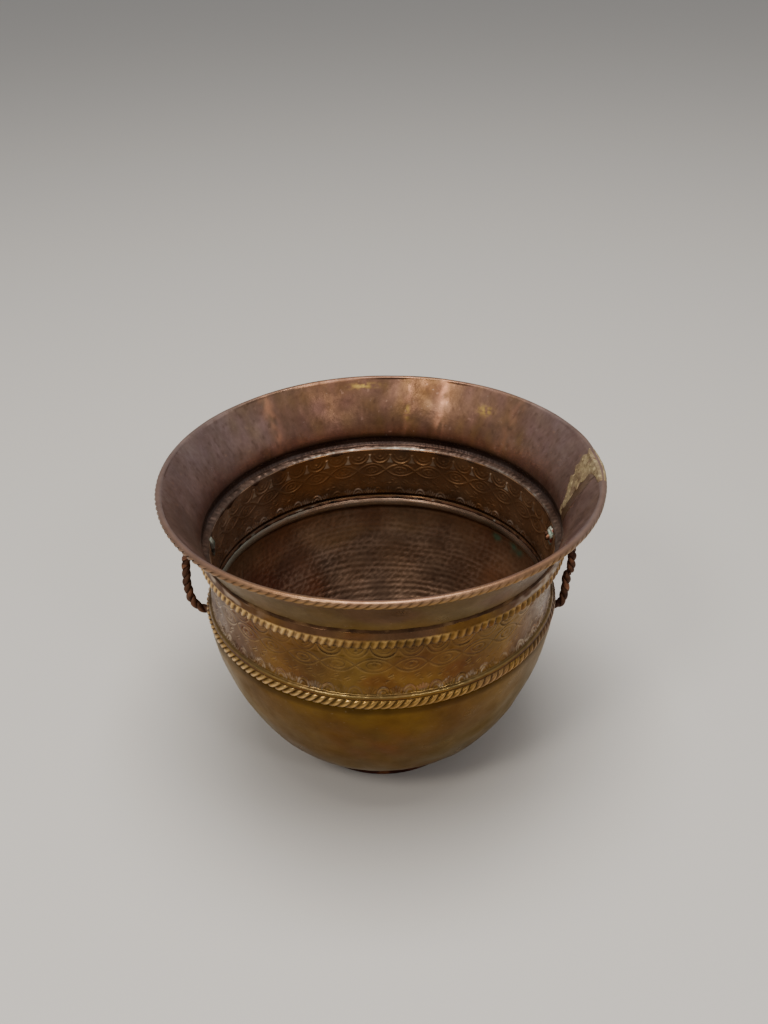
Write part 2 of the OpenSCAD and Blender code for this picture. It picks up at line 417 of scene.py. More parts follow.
def settle(points):
    """Moves the upper part of the pot a little to +X and lets its rings sag towards the front."""
    x, y, z = points.T
    around = np.arctan2(y, x)
    front = np.maximum(-np.sin(around), 0) ** 2
    low = -0.4 + 0.4 * np.sin(around) - 2.8 * front
    top = -0.8 + 1.3 * np.sin(around) + 0.3 * np.cos(around)
    rim = -1.1 + 1.0 * np.sin(around) + 0.1 * np.cos(around)
    drop = low * np.clip((z - SAG_FROM) / (LOW_RING - SAG_FROM), 0, 1)
    drop = drop + (top - low) * np.clip((z - LOW_RING) / (TOP_RING - LOW_RING), 0, 1)
    drop = drop + (rim - top) * np.clip((z - TOP_RING) / (RIM_LEVEL - TOP_RING), 0, 1)
    shift = RIM_SHIFT * ease(z, SHIFT_FROM, TOP_RING)
    return np.stack([x + shift, y, z + drop], 1)


# ---- collar

RIM_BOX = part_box("collar")
ROLL = 2.9
RIM_CENTRE = RIM_BOX[1].x / MM - ROLL - RIM_SHIFT
RIM_HEIGHT = RIM_BOX[1].z / MM - ROLL
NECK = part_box("band")[1].x / MM - 4.0
NECK_HEIGHT = 198.0
HEM_FOOT = RIM_BOX[0].z / MM
FLARE_POWER = 1.35
SHEET = 1.1
RIM_NOTCHES = 158
SEAM_LAP = math.radians(5.6)
# Where the collar's face runs into its roll: this far in and up from the roll's middle, in parts of ROLL.
JOIN_IN, JOIN_UP = 0.809, 0.588
# Glints on the collar's back: angle, height, and how wide and tall they are.
GLINTS = ((1.65, 235.5, 0.07, 1.6), (1.40, 216, 0.012, 4), (0.93, 226, 0.04, 3))


def collar_line(offset, t):
    """The collar's face at heights t, 0 at the neck and 1 where it meets the roll, moved out by offset."""
    join = (RIM_CENTRE - ROLL * JOIN_IN, RIM_HEIGHT + ROLL * JOIN_UP)
    flare, rise = join[0] - NECK, join[1] - NECK_HEIGHT
    r = NECK + flare * t ** FLARE_POWER
    z = NECK_HEIGHT + rise * t
    lean = np.arctan2(flare * FLARE_POWER * t ** (FLARE_POWER - 1), rise)
    return np.stack([r + offset * np.cos(lean), z - offset * np.sin(lean)], 1)


def out_of_round(az, rise):
    """How far the collar's radius is off at each angle: most at the rim, and flattened near the seam."""
    wave = 0.25 * np.sin(2 * az + 0.6) + 0.25 * np.sin(3 * az + 2.0) + 0.12 * np.sin(7 * az) - 0.45
    seam = 0.9 * bell(np.angle(np.exp(1j * (az - 0.12))), 0, 0.10)
    return rise * (wave - seam)


def planished(p):
    """How far the hammered face of the collar stands off its true curve."""
    facets = 0.07 * field(p * [1, 1, 0.35], 9, 12)
    above_hem = np.clip((p[..., 2] - HEM_FOOT - 4) / 8, 0, 1)
    return (facets + 0.10 * field(p, 20, 27) + 0.30 * field(p, 46, 13)) * above_hem


def add_collar(material):
    """The flared collar with its roped roll and lapped seam, as one sheet."""
    t = np.linspace(0, 1, 40)
    inner = collar_line(0, t)
    outer = collar_line(SHEET, np.linspace(0.93, 0, 20))
    hem_in = np.array([[NECK, HEM_FOOT], [NECK, HEM_FOOT + 1.7]])
    hem_out = np.array([[NECK + SHEET, HEM_FOOT + 1.7], [NECK + SHEET, HEM_FOOT]])
    roll = arc((RIM_CENTRE, RIM_HEIGHT), ROLL, 138, -142, 38)
    profile, which = outline(hem_in, inner, roll, outer, hem_out)
    sheet = Turned(profile, RIM_NOTCHES * 6)
    part = which[:, None]
    p = sheet.plain()
    x = p[..., 0]
    az, z = sheet.angle, sheet.height
    rise = ease(z, NECK_HEIGHT, RIM_HEIGHT)

    # The roping is cut into the outer side of the roll.
    phi = np.arctan2(profile[:, 1] - RIM_HEIGHT, profile[:, 0] - RIM_CENTRE)[:, None]
    on_roll = part == 2
    cut_side = np.where(on_roll, ease(phi, -2.3, -1.7) * (1 - ease(phi, 0.35, 0.85)), 0)
    cut_side = cut_side * (1 - 0.4 * ease(x, 0, 90))
    wander = 0.35 * field(p, 40, 10) / 160
    turns = rope_turn(az + wander, ROLL * phi, RIM_NOTCHES, RIM_CENTRE, 1.2, 0.35)
    notch = rope_notches(turns, 0.58) * cut_side
    wobble = patchy(p, 24, 11, 0.8, 0.3, 0.25, 1.3)
    sheet.shift -= 1.1 * notch * wobble

    # The face is softly planished, and one end of the sheet laps over the other.
    sheet.radius += out_of_round(az, rise)
    sheet.shift += planished(p) * np.where(on_roll, 0.3, np.where(part < 2, 1.0, -1.0))
    turn = np.angle(np.exp(1j * az)) + 0 * z
    wavy = 0.012 * field(p, 18, 14)
    lap = ease(turn + SEAM_LAP + wavy, -0.004, 0.004) * (1 - ease(turn + 0.024 + wavy, -0.004, 0.004))
    inside = part == 1
    sheet.shift += 0.5 * lap * inside * ease(z, NECK_HEIGHT, NECK_HEIGHT + 3) * (1 - ease(z, 234, 238))

    # Colour: pinkish copper on top and inside, olive gold outside, with painted shade at the hem, in the neck
    # crease and in the notches.
    streaks = field(p * [1, 1, 0.2], 9, 15)
    sides = ease(-x, 80, 150) + ease(x, 110, 145)
    tint = coats(
        mix(COPPER_IN, COPPER_RED, 0.35 + 0.25 * field(p, 40, 16)),
        (GOLD * 0.9, np.clip(0.3 + 0.15 * streaks + 0.2 * field(p, 60, 17), 0, 0.6)),
        (MAUVE * 0.8, 0.25 * ease(field(p, 34, 18) - 0.01 * x, 0.0, 1.0)),
        (tone(152, 130, 122), 0.6 * sides))
    brushed = 0.6 * field(p * [1, 1, 0.12], 2.6, 30) + 0.4 * field(p, 7, 30)
    tint = mix(tint, tone(112, 84, 68), np.clip(0.2 + 0.2 * brushed, 0, 0.7))
    tint = tint * (1 - 0.44 * bell(az, 1.42, 0.45) - 0.2 * bell(az, 1.8, 0.14))[..., None]
    tint = tint * (1 + ease(np.abs(az - 1.5), 0.3, 0.8)[..., None] * [0.0, 0.09, 0.24])
    # Painted reflections: narrow upright streaks of light across the collar's back; the glints below are
    # painted highlights.
    shine = (1.2 * bell(az, 1.2, 0.03) + 0.7 * bell(az, 1.40, 0.02) + 1.2 * bell(az, 2.22, 0.035)
             + 0.6 * bell(az, 0.75, 0.04))
    shine = shine * patchy(p * [1, 1, 0.25], 5, 28, 0.6, 0.6)
    tint = mix(tint, tone(220, 156, 122), np.clip(0.4 * shine, 0, 0.6))
    for spot_az, spot_z, wide, tall in GLINTS:
        glint = bell(az, spot_az, wide) * bell(z, spot_z, tall) * patchy(p, 3, 75, 0.6, 0.8)
        tint = mix(tint, tone(226, 190, 92), 0.75 * glint)
    speckle = spots(p * [1, 1, 0.5], 3.2, 29, 0.9, 1.4)
    tint = mix(tint, tone(84, 58, 44), 0.3 * speckle)
    outside = mix(OLIVE, GOLD, 0.4 + 0.3 * field(p, 44, 19))
    outside = mix(outside, COPPER_RED, 0.5 * spots(p * [1, 1, 2], 60, 20, 0.6, 1.3))
    outside = mix(outside, MAUVE, 0.8 * ease(x + 12 * field(p, 40, 24), 80, 135)) * PATINA * 0.85
    tint = np.where((part >= 3)[..., None], outside, tint)
    top = on_roll * ease(phi, 0.5, 1.1)
    front_top = mix(COPPER_TOP, tone(154, 116, 84), ease(-p[..., 1], 60, 150))
    low_roll = on_roll * (1 - ease(phi, 0.5, 1.1))
    edges = (bell(turn + SEAM_LAP + wavy, 0, 0.004) + bell(turn + 0.024 + wavy, 0, 0.006)) * inside
    hem = 1 - ease(z, NECK_HEIGHT - 1.2, NECK_HEIGHT)
    outer_neck = (part >= 3) * bell(z, NECK_HEIGHT, 1.5)
    # Painted shade: dark in the rope notches, at the hem and in the crease outside the neck.
    tint = coats(
        tint,
        (front_top, top * bell(phi, 1.0, 0.8) * (0.8 + 0.15 * field(p, 26, 21))),
        (mix(GOLD * 1.1, COPPER_TOP, 0.5 * ease(phi, -0.5, 0.4)), 0.85 * low_roll),
        (tone(140, 122, 116), 0.5 * on_roll * sides),
        (DARK, 0.7 * np.clip(notch * 1.15, 0, 1)),
        (DARK, 0.75 * np.clip(edges, 0, 1)),
        (tone(128, 112, 66), 0.5 * lap * inside * spots(p, 20, 26, -0.6, 0.6)),
        (DARK, np.where(part >= 3, 0.4, 0.75) * hem),
        (tone(112, 62, 40), 0.35 * inside * bell(z, NECK_HEIGHT + 3, 6)),
        (tone(62, 40, 28), 0.4 * outer_neck))
    nicks = spots(p, 4, 22, 1.55, 1.8) * inside
    tint = mix(tint, COPPER_TOP, 0.45 * nicks)
    grime = 0.8 * notch + hem + 0.4 * spots(p, 22, 23, 0.2, 1.0)
    dress(turned_mesh("collar_sheet", sheet, tint, grime), material, "copper_collar", "collar")


def add_rim_wire(material):
    """The wire inside the roll, which follows the rim's shape."""
    sheet = Turned(arc((RIM_CENTRE, RIM_HEIGHT), ROLL - 1.2, 0, 336, 15), 400)
    sheet.radius += out_of_round(sheet.angle, 1.0)
    p = sheet.plain()
    tint = mix(tone(120, 84, 60), DARK, 0.4 + 0.3 * field(p, 12, 25))
    dress(turned_mesh("rim_core_wire", sheet, tint, 0.5), material, "rim_core", "rim_wire")


def add_braze(material):
    """A crumbly run of braze down the seam, wide at the rim and narrow at the neck."""
    columns = 60
    line = np.vstack([collar_line(0, np.linspace(0.02, 1.0, 100)),
                      arc((RIM_CENTRE, RIM_HEIGHT), ROLL, 138, 30, 14)[1:]])
    rows = len(line)
    climb = np.linspace(0, 1, rows)[:, None]
    across = np.linspace(-1, 1, columns)[None, :]
    centre = np.radians(0.4 + 2.6 * ease(climb, 0.1, 0.6) + 0.6 * ease(climb, 0.6, 0.9))
    half = np.radians(1.7 + 1.3 * ease(climb, 0.1, 0.5) + 4.6 * ease(climb, 0.6, 0.85))
    # The two edges are ragged each in its own way, and straight across.
    ragged = line[:, 1][:, None, None] * [0, 0, 1] + np.sign(across)[..., None] * [0, 40, 0]
    half = half * np.clip(1 + 0.28 * field(ragged, 14, 31) + 0.24 * field(ragged, 3.6, 32), 0.4, 1.6)
    az = centre + across * half
    along = np.gradient(line, axis=0)
    along /= np.linalg.norm(along, axis=1)[:, None]
    lift_r, lift_z = -along[:, 1:], along[:, :1]
    rise = ease(line[:, 1], NECK_HEIGHT, RIM_HEIGHT)[:, None]
    plain_r = line[:, :1] + 0 * az
    base_z = line[:, 1:] + 0 * az
    spot = spun(plain_r, az, base_z)
    wave = planished(spot) * (1 - 0.7 * ease(climb, 0.88, 0.93))
    base_r = plain_r + out_of_round(az, rise)
    body = np.sqrt(np.clip(1 - across ** 4, 0, 1))
    lumps = 0.42 + 0.22 * field(spot, 3.0, 33) + 0.22 * field(spot, 7, 34)
    thick = 0.1 + body * np.clip(0.3 + lumps * (0.5 + 0.8 * ease(climb, 0.68, 0.88)), 0.2, 1.2)
    thick = thick * (1 - 0.7 * ease(climb, 0.93, 1.0))
    skins = []
    for depth in (thick + wave, wave - 0.6):
        r = base_r + depth * lift_r
        z = np.minimum(base_z + depth * lift_z, RIM_HEIGHT + ROLL - 0.02)
        skins.append(spun(r, az, z))
    # Front and back skins join along all four edges.
    loop = np.concatenate([skins[0], skins[1][:, ::-1]], 1)
    n, m = loop.shape[:2]
    caps = []
    for row in (0, n - 1):
        for k in range(columns - 1):
            cap = [row * m + k, row * m + k + 1, row * m + m - 2 - k, row * m + m - 1 - k]
            caps.append(cap if row else cap[::-1])
    flat = loop.reshape(-1, 3)
    tint = mix(BRAZE, tone(142, 122, 98), patchy(flat, 5, 35, 0.4, 0.5))
    tint = mix(tint, tone(214, 196, 150), 0.7 * spots(flat, 3.0, 36, 0.8, 1.3))
    tint = mix(tint, BROWN, 0.7 * spots(flat, 4.6, 37, 0.9, 1.3))
    piece = make_mesh("collar_seam_braze_run", settle(flat), grid_faces(n, m), tint, caps)
    dress(piece, material, "seam_braze", "collar_seam_braze")


def add_collar_solder(material):
    """The thin dark run of solder in the crease between collar and band."""
    r, z = NECK + SHEET, NECK_HEIGHT
    profile = [[r - 0.2, z - 0.6], [r + 1.0, z - 0.4], [r + 1.15, z + 0.2], [r + 0.9, z + 1.2],
               [r + 0.4, z + 2.2], [r - 0.1, z + 2.0]]
    sheet = Turned(curve(profile, 12), 420)
    p = sheet.plain()
    sheet.shift += 0.16 * field(p, 5, 41) - 0.05
    tint = mix(tone(92, 66, 44), DARK, 0.25 + 0.3 * field(p, 9, 42))
    tint = mix(tint, tone(150, 120, 84), 0.5 * spots(p, 12, 43, 0.8, 1.2))
    dress(turned_mesh("collar_solder_run", sheet, tint, 0.6), material, "seam_braze", "collar_solder")


# ---- band

BEAD_NOTCHES = 146
BEAD_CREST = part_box("band")[1].x / MM
BEAD_HEIGHT = 188.4
WALL = BEAD_CREST - 8.4
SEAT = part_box("band")[0].z / MM
WALL_TOP = BEAD_HEIGHT - 6.2
LEDGE = WALL_TOP + 3.3
FLANGE = SEAT + 3.0
MOTIFS = 44
EYES = 33
# Leaf strokes below the eyes: place along and up, tilt in degrees, and length.
LEAVES = ((-4.5, -8.2, 24, 4.4), (-3.6, -9.9, 24, 3.6), (3.8, -10.6, 32, 4.8), (4.9, -12.2, 32, 3.8),
          (-1.0, -13.2, -18, 3.0), (-6.4, -12.6, 12, 3.2))


def dash(u, v, cu, cv, angle, length, width):
    """A short straight chased stroke."""
    c, s = math.cos(math.radians(angle)), math.sin(math.radians(angle))
    along = (u - cu) * c + (v - cv) * s
    across = -(u - cu) * s + (v - cv) * c
    return bell(across, 0, width) * (1 - ease(np.abs(along), length / 2 - 0.8, length / 2 + 0.5))


def chasing(az, z, p):
    """The chased pattern on the band's wall, as four fields from 0 to 1: lines, arches, fans and spires."""
    pitch = TAU * WALL / MOTIFS
    u = az * WALL + 0.45 * field(p, 26, 51)
    v = z + 0.35 * field(p, 24, 52)
    from_gap = u % pitch - pitch / 2
    a = np.abs((u + pitch / 2) % pitch - pitch / 2)
    b = np.abs(from_gap)
    lines = np.zeros_like(v)

    def press(line, strength=1.0):
        nonlocal lines
        lines = np.maximum(lines, strength * line)

    # Swags hang under the bead, and leave a spire between each two.
    hang = WALL_TOP - 1.0
    below = 1 - ease(v, hang - 1, hang)
    swag = np.hypot(a, v - hang)
    press(bell(swag, 8.8, 0.6) * below)
    press(bell(swag, 5.6, 0.5) * below, 0.7)
    press(bell(np.hypot(a, v - hang + 3.2), 0, 1.1), 0.9)
    wide = 0.35 + 2.8 * np.clip((hang - 0.5 - v) / 8, 0, 1) ** 2.2
    point = ease(wide - b, -0.3, 0.5) * ease(v, hang - 8.6, hang - 7.9) * (1 - ease(v, hang - 0.8, hang))
    point = point * (0.35 + 0.65 * chance(np.round(u / pitch - 0.5), 5))
    # Eyes stand side by side along the middle.
    eye = TAU * WALL / EYES
    e = u % eye - eye / 2
    middle = WALL_TOP - 16.5
    upper = ease(v, middle - 0.6, middle + 0.6)
    press(bell(np.hypot(e, v - middle + 10.3), 15.8, 0.55) * upper, 0.85)
    press(bell(np.hypot(e, v - middle - 10.3), 15.8, 0.55) * (1 - upper), 0.85)
    press(bell(np.hypot(e, (v - middle) * 1.7), 5.0, 0.6), 0.75)
    press(bell(np.hypot(e, v - middle), 0, 1.2), 0.8)
    # Pairs of slanting leaf strokes lie below the eyes.
    for cu, cv, tilt, long in LEAVES:
        leaf = dash(from_gap, v, cu, middle + cv, tilt, long, 0.45)
        press(leaf * (0.4 + 0.6 * chance(np.floor(u / pitch), cu, cv)))
    # Border along the foot: double arches with strokes fanned between them.
    foot = FLANGE + 0.8
    rise = ease(v, foot, foot + 1)
    bow = np.hypot(a, (v - foot) * 0.72)
    arches = np.maximum(bell(bow, 4.4, 0.55), 0.8 * bell(bow, 2.4, 0.5)) * rise
    fans = np.zeros_like(v)
    for cu, tilt in ((0.0, 90), (1.6, 74), (3.1, 60)):
        fans = np.maximum(fans, dash(b, v, cu, foot + 3.9 - 0.3 * cu, tilt, 6.2 - 0.6 * cu, 0.45))
    uneven = patchy(p, 21, 53, 0.85, 0.35, 0.3, 1.15)
    fade = ease(v, FLANGE + 0.4, FLANGE + 1.4) * (1 - ease(v, WALL_TOP - 0.8, WALL_TOP + 0.2)) * uneven
    return lines * fade, arches * fade, fans * fade, point * fade


def brass_outside(p):
    """Brown-gold patina, greyer and mauve towards the sides."""
    tint = mix(GOLD, BROWN * 1.5, 0.45 + 0.3 * field(p, 34, 56))
    tint = mix(tint, OLIVE, 0.4 * spots(p, 46, 57, -0.2, 1.0))
    side = np.abs(p[..., 0]) + 12 * field(p, 50, 58)
    tint = mix(tint, MAUVE, 0.7 * ease(side, 75, 132))
    return mix(tint, RED_PATCH, 0.35 * spots(p, 24, 59, 0.7, 1.3)) * PATINA


def add_band_bead(material):
    """The band's upper bead with the lip that holds the collar, hollow behind."""
    crest, h = BEAD_CREST, BEAD_HEIGHT
    lip = NECK + SHEET
    shoulder = curve([[lip + 1.0, NECK_HEIGHT], [lip + 1.3, NECK_HEIGHT - 1.6], [crest - 0.9, h + 4.6]], 8)
    bead = curve([[crest - 0.55, h + 3.8], [crest, h], [crest - 0.8, h - 2.9], [crest - 3.5, h - 4.9],
                  [WALL + 1.6, h - 5.8]], 20)
    neck = np.array([[WALL + 0.7, h - 6.3], [WALL + 0.2, WALL_TOP - 1.4], [WALL - 0.5, WALL_TOP - 1.4]])
    ledge = curve([[WALL - 0.7, LEDGE], [WALL + 0.8, LEDGE + 1.1], [WALL + 2.8, LEDGE + 1.9],
                   [WALL + 4.6, LEDGE + 2.3]], 12)
    groove = curve([[crest - 3.3, LEDGE + 3.2], [crest - 2.5, LEDGE + 4.6], [crest - 2.5, LEDGE + 7],
                    [lip + 0.02, NECK_HEIGHT - 2.8], [lip + 0.05, NECK_HEIGHT]], 14)
    profile, which = outline(shoulder, bead, neck, ledge, groove)
    sheet = Turned(profile[::-1], BEAD_NOTCHES * 8)
    part = which[::-1][:, None]
    p = sheet.plain()
    x = p[..., 0]
    az, z = sheet.angle, sheet.height
    zone = ease(z, h - 5.6, h - 3.6) * (1 - ease(z, h + 2.6, h + 4.6)) * (part == 1)
    wander = 0.5 * field(p, 40, 50) / crest
    turn = rope_turn(az + wander, z - h, BEAD_NOTCHES, crest, 0.3, 0.5)
    notch = rope_pockets(turn, 0.5) * zone
    wobble = patchy(p, 30, 54, 0.9, 0.3, 0.3, 1.3)
    sheet.shift -= 1.35 * notch * wobble
    sheet.shift += 0.10 * field(p, 20, 55) * (part <= 1)
    hollow = rope_notches(2 * turn, 0.6)
    sheet.shift += 0.3 * hollow * wobble * (part == 4) * (z < 194)
    sheet.shift += (0.16 * field(p, 3.5, 74) - 0.1) * (part == 3) * ease(z, LEDGE + 0.2, LEDGE + 1.4)

    tint = brass_outside(p)
    # Painted light from the left: the bead is lighter there, with painted highlights on the crests of its
    # lobes.
    lit_crown = (1 - rope_pockets(turn, 0.4)) * zone * (0.4 + 0.6 * ease(z, h - 3, h + 1))
    left = ease(-x, 10, 80)
    tint = coats(
        tint,
        (tone(206, 176, 132), 0.35 * left * zone),
        (mix(GOLD_HIGHLIGHT, tone(240, 206, 140), left),
         (0.5 + 0.5 * left) * lit_crown * patchy(p, 30, 48, 0.7, 0.4)),
        (tone(92, 68, 56), 0.75 * (part == 0) * spots(p, 30, 60, -1.4, 0.2)))
    # Painted highlight: a bright line along the top of the bead, strongest on the left.
    top_highlight = (part == 1) * bell(z, h + 3.2, 1.0) * (0.3 + 0.5 * left)
    top_highlight = top_highlight * patchy(p, 10, 58, 0.7, 0.5)
    tint = mix(tint, tone(240, 204, 132), top_highlight)
    # Painted sheen on the shoulder towards the sides.
    sheen = (part == 0) * ease(np.abs(x), 70, 112) * spots(p * [1, 1, 3], 9, 56, -0.3, 0.9)
    # Painted shade on the dark side of each lobe, and in a reddish line under the bead's overhang.
    shaded_valley = rope_notches(turn + 0.9, 0.42) * zone
    tint = coats(
        tint,
        (tone(212, 200, 184), 0.5 * sheen),
        (DARK, 0.7 * np.clip(shaded_valley, 0, 1)),
        (tone(92, 44, 22), 0.6 * (part <= 2) * bell(z, WALL_TOP + 0.6, 1.2)))
    # Inside, the groove behind the bead is dark grey-brown: its own oxide, deepened with painted shade.
    deep = mix(tone(98, 84, 78), tone(76, 60, 54), 0.5 + 0.4 * field(p, 30, 47))
    deep = mix(deep, tone(104, 96, 94), 0.4 * ease(field(p, 30, 46) + 0.012 * np.abs(x), 0.9, 2.0))
    deep = mix(deep, tone(120, 112, 102), 0.2 * (1 - hollow) * (1 - ease(z, LEDGE + 1.5, LEDGE + 4)))
    pale = mix(tone(150, 132, 114), tone(150, 160, 150), spots(p, 22, 65, -0.1, 0.9))
    pale = mix(pale, tone(226, 222, 206), 0.8 * spots(p, 3.4, 66, 0.5, 1.1))
    pale = mix(pale, tone(90, 70, 58), 0.6 * spots(p, 9, 49, 0.2, 1.0))
    # Painted highlights sparkle along the ledge, most at the back, on a ledge darkened with painted shade.
    sparkle = 0.1 + 0.6 * ease(np.sin(az), 0.86, 0.99) * patchy(p, 7, 76, 0.7, 0.5)
    sparkle = sparkle + 0.35 * bell(az, 0.5, 0.25)
    ledge_tint = mix(deep * [0.85, 0.72, 0.64], pale, sparkle * bell(z, LEDGE + 0.8, 0.45))
    tint = np.where((part == 4)[..., None], deep, tint)
    tint = np.where((part == 3)[..., None], ledge_tint, tint)
    grime = notch + 0.6 * (part >= 3) + 0.3 * field(p, 15, 67)
    dress(turned_mesh("band_upper_bead", sheet, tint, grime), material, "embossed_brass", "band")


def add_band_outside(material):
    """The outside of the band's wall with the pattern pressed in, and its flange on the bowl's roll."""
    wall = curve([[WALL + 0.6, WALL_TOP + 0.2], [WALL + 0.2, 174], [WALL, 160], [WALL + 0.2, 146],
                  [WALL + 0.5, FLANGE + 1.1]], 74)
    flange = curve([[WALL + 1.0, FLANGE + 0.5], [WALL + 2.0, FLANGE], [WALL + 2.8, FLANGE - 1.1],
                    [WALL + 2.9, SEAT + 0.1]], 9)
    back = np.array([[WALL - 0.4, SEAT], [WALL - 0.45, 150], [WALL - 0.45, 165],
                     [WALL - 0.2, WALL_TOP + 0.2]])
    profile, which = outline(wall, flange, back)
    sheet = Turned(profile[::-1], 1130)
    part = which[::-1][:, None]
    p = sheet.plain()
    x = p[..., 0]
    lines, arches, fans, point = chasing(sheet.angle, sheet.height, p)
    lines = lines * (0.4 + 0.6 * spots(p, 11, 57, -0.6, 0.6))
    pressed = np.maximum(np.maximum(lines, arches), fans)
    front = part == 0
    sheet.shift -= (0.8 * pressed + 0.5 * point) * front
    sheet.shift += 0.10 * field(p, 18, 55) * (part <= 1)
    crimp = field(p, 4, 45) * (part == 1)
    sheet.shift += 0.12 * crimp

    tint = brass_outside(p)
    tint = mix(tint, DARK, 0.6 * np.clip(pressed * 1.1, 0, 1) * front)
    # Painted highlight on one edge of each pressed line, paler and stronger towards the sides.
    rim_light = np.clip(np.roll(pressed, -1, 0) - pressed, 0, 1) * front
    wear_and_glare = ease(np.abs(x), 76, 118)
    tint = mix(tint, mix(tone(200, 164, 104), tone(220, 206, 186), wear_and_glare),
               np.clip((0.7 + 0.9 * wear_and_glare) * rim_light, 0, 0.8))
    # The border's arches and fans carry a whitish deposit, brightened towards the sides by painted glints.
    frost = spots(p, 5, 44, -0.3, 0.6) * front
    glint_at_sides = 0.25 + 0.75 * ease(np.abs(x + 12), 18, 60)
    tint = mix(tint, tone(232, 218, 194), (0.5 * fans + 0.75 * arches) * frost * glint_at_sides)
    # Painted highlight on the flange's ridge, strongest at the front left; a brown line along the bend above
    # it; painted shade at the flange's foot, where it sits on the roll.
    ridge = (part == 1) * ease(sheet.height, FLANGE - 1.2, FLANGE - 0.4)
    lit = bell(sheet.angle, -2.0, 0.6) * patchy(p, 9, 77, 0.85, 0.3)
    tint = coats(
        tint,
        (tone(255, 226, 150), ridge * (0.28 + 0.7 * lit)),
        (BROWN, 0.6 * (part <= 1) * bell(sheet.height, FLANGE + 0.25, 0.35)),
        (tone(60, 34, 20), 0.6 * (part == 1) * (1 - ease(sheet.height, SEAT + 0.6, SEAT + 1.3))))
    grime = 0.8 * pressed * front + 0.3 * field(p, 15, 67)
    dress(turned_mesh("band_outer_face", sheet, tint, grime), material, "embossed_brass", "band")


def add_band_inside(material):
    """The inner face of the band's wall, where the same pattern stands proud, above a dark groove."""
    inner = WALL - 1.0
    groove = curve([[inner - 0.3, SEAT], [inner - 0.2, SEAT + 1.6], [inner + 0.75, SEAT + 2.9],
                    [inner + 0.8, SEAT + 4.0], [inner + 0.2, SEAT + 5.0]], 12)
    wall = curve([[inner, SEAT + 5.5], [inner, 160], [inner + 0.15, 174], [inner + 0.35, LEDGE + 0.2]], 76)
    back = np.array([[WALL + 0.3, LEDGE + 0.1], [WALL - 0.2, WALL_TOP], [WALL - 0.5, 165], [WALL - 0.5, 150],
                     [WALL - 0.05, SEAT + 3.5], [WALL - 0.5, SEAT]])
    profile, which = outline(groove, wall, back)
    sheet = Turned(profile, 1040)
    part = which[:, None]
    p = sheet.plain()
    x = p[..., 0]
    lines, arches, fans, point = chasing(sheet.angle, sheet.height, p)
    raised = np.maximum(np.maximum(lines, arches), fans)
    face = part == 1
    sheet.shift += (0.75 * raised + 0.5 * point) * face
    sheet.shift += 0.12 * field(p, 12, 68) * face

    shade = np.clip(1 - raised - point, 0, 1) * face * bell(sheet.height, SEAT + 9.0, 3.0)
    tint = coats(
        mix(tone(150, 112, 76), tone(118, 92, 68), 0.5 + 0.4 * field(p, 26, 61)),
        (tone(168, 118, 66), 0.5 * spots(p, 50, 62, 0.1, 1.0)),
        (tone(172, 146, 124), 0.7 * ease(-x + 10 * field(p, 40, 69), 60, 118)),
        (tone(176, 138, 104), 0.6 * ease(x + 10 * field(p, 40, 69), 66, 118)),
        (tone(178, 138, 92), 0.45 * lines * face * spots(p, 11, 63, -0.8, 0.7)),
        (tone(214, 204, 190), (0.85 * arches + 0.5 * fans) * face * spots(p, 9, 64, -0.8, 0.5)),
        (tone(240, 228, 204), 0.95 * point * face),
        (DARK, 0.45 * shade),
        (DARK * 0.35, 0.95 * (part == 0) * bell(sheet.height, SEAT + 3.3, 1.6)))
    grime = patchy(p, 15, 39, 0.5, 0.3)
    dress(turned_mesh("band_inner_face", sheet, tint, grime), material, "embossed_brass", "band")


def add_band_solder(material):
    """The low run of solder between the band's wall and the bowl's roll."""
    r = WALL - 1.0
    profile = [[r - 1.0, SEAT], [r + 0.4, SEAT], [r + 0.3, SEAT + 1.7], [r - 0.4, SEAT + 1.6],
               [r - 1.0, SEAT + 0.8]]
    sheet = Turned(curve(profile, 10), 420)
    p = sheet.plain()
    sheet.shift += 0.14 * field(p, 4, 71)
    tint = mix(tone(96, 66, 48), DARK, 0.5 + 0.4 * field(p, 7, 72))
    tint = mix(tint, TIN * 0.6, 0.5 * spots(p, 6, 73, 0.7, 1.2))
    dress(turned_mesh("band_solder_run", sheet, tint, 0.7), material, "soft_solder", "band_solder")


# ---- bowl

BOWL_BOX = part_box("bowl")
MOUTH_ROLL = 4.4
MOUTH_CENTRE = BOWL_BOX[1].x / MM - MOUTH_ROLL
MOUTH_HEIGHT = 134.2
BOWL_TOP = 126.3
BOWL_RADIUS = 134.5
BOTTOM_RADIUS = 66.3
BOTTOM = BOWL_BOX[0].z / MM
ROLL_NOTCHES = 140
HAMMER_PITCH = 5.2


def bowl_line(inset, count):
    """The bowl's face from under its roll to the edge of its flat bottom."""
    a = np.radians(np.linspace(0, 90, 200))
    r = BOTTOM_RADIUS - inset * 0.4 + (BOWL_RADIUS - BOTTOM_RADIUS - inset * 0.6) * np.cos(a) ** 0.97
    z = BOWL_TOP - (BOWL_TOP - BOTTOM - inset) * np.sin(a) ** 1.5
    return evenly(np.stack([r, z], 1), count)


def hammer_marks(run, az, radius, pitch_run, pitch_around, seed):
    """Rows of shallow round dents, each a little different in place, size and depth, as depth from 0 to 1."""
    row = np.floor(run / pitch_run)
    count = np.maximum(np.round(TAU * np.maximum(radius, 6) / pitch_around), 6)
    spin = az / TAU * count + chance(row, seed)
    cell = np.mod(np.floor(spin), count)
    u = 2 * (run / pitch_run - row) - 1 - 0.5 * (chance(row, cell, seed + 1) - 0.5)
    v = 2 * (spin - np.floor(spin)) - 1 - 0.6 * (chance(row, cell, seed + 2) - 0.5)
    return np.exp(-(u ** 2 + v ** 2) / 0.5) * (0.35 + 0.85 * chance(row, cell, seed + 3))


